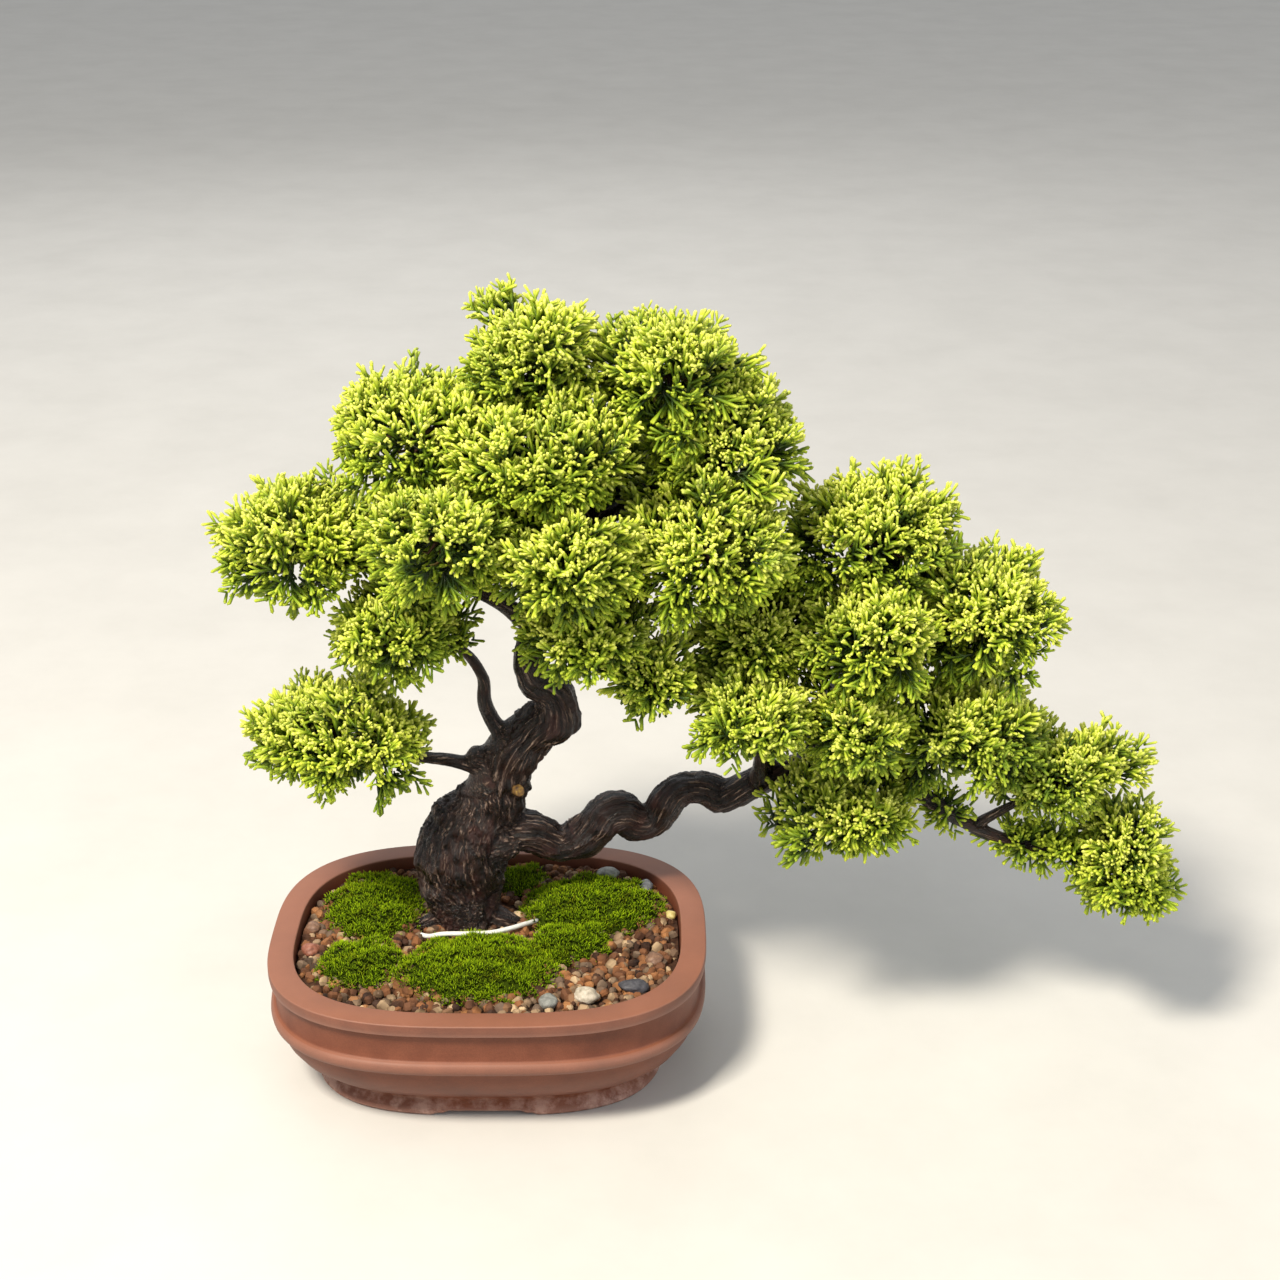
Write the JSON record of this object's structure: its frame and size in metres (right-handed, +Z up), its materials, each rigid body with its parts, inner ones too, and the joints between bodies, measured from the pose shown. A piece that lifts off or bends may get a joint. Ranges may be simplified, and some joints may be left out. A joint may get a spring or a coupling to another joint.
{
  "type": "bonsai tree in a pot",
  "caption": "Semi-cascade juniper bonsai in a rounded oblong unglazed stoneware pot, with moss, gravel soil, drain screens and an anchor tie; stands on its four feet.",
  "frame": {"origin": "centre of the whole object's box, on the plane that the pot's feet stand on", "axes": "+X to the right along the cascade and the pot's long side, +Y to the back, +Z up"},
  "size_m": [0.4292, 0.1726, 0.3591],
  "materials": {
    "stoneware": "matte",
    "bark": "satin",
    "foliage": "satin",
    "moss": "matte",
    "soil": "matte",
    "netting": "matte",
    "staple_wire": "satin",
    "coated_wire": "satin",
    "stone_brown": "matte",
    "stone_dark": "matte",
    "stone_grey": "matte",
    "stone_pale": "matte",
    "stone_red": "matte",
    "stone_slate": "matte",
    "stone_yellow": "matte"
  },
  "bodies": {
    "root": {"anchor_tie": "coated_wire", "drain_screen_left": "netting", "drain_screen_right": "netting", "foliage_apex_left": "foliage", "foliage_apex_right": "foliage", "foliage_cascade_back": "foliage", "foliage_cascade_far": "foliage", "foliage_cascade_front": "foliage", "foliage_cascade_heel": "foliage", "foliage_cascade_inner": "foliage", "foliage_cascade_low": "foliage", "foliage_cascade_middle": "foliage", "foliage_cascade_right": "foliage", "foliage_cascade_shoulder": "foliage", "foliage_cascade_tip": "foliage", "foliage_cascade_top": "foliage", "foliage_centre_low": "foliage", "foliage_centre_tassel": "foliage", "foliage_crown_back": "foliage", "foliage_crown_left": "foliage", "foliage_crown_middle": "foliage", "foliage_crown_right": "foliage", "foliage_front_left": "foliage", "foliage_front_middle": "foliage", "foliage_joint": "foliage", "foliage_left_back": "foliage", "foliage_left_inner": "foliage", "foliage_left_low": "foliage", "foliage_left_shoulder": "foliage", "foliage_right_back": "foliage", "foliage_right_front": "foliage", "moss_back": "moss", "moss_back_left": "moss", "moss_front": "moss", "moss_front_left": "moss", "moss_middle": "moss", "moss_right": "moss", "pot": "stoneware", "screen_clip_left": "staple_wire", "screen_clip_right": "staple_wire", "soil": "soil", "stone_brown_left": "stone_brown", "stone_brown_right": "stone_brown", "stone_dark_long": "stone_dark", "stone_grey_back": "stone_grey", "stone_grey_front": "stone_grey", "stone_pale_front": "stone_pale", "stone_red_left": "stone_red", "stone_slate_back": "stone_slate", "stone_yellow_right": "stone_yellow", "trunk_and_branches": "bark"}
  },
  "joints": []
}
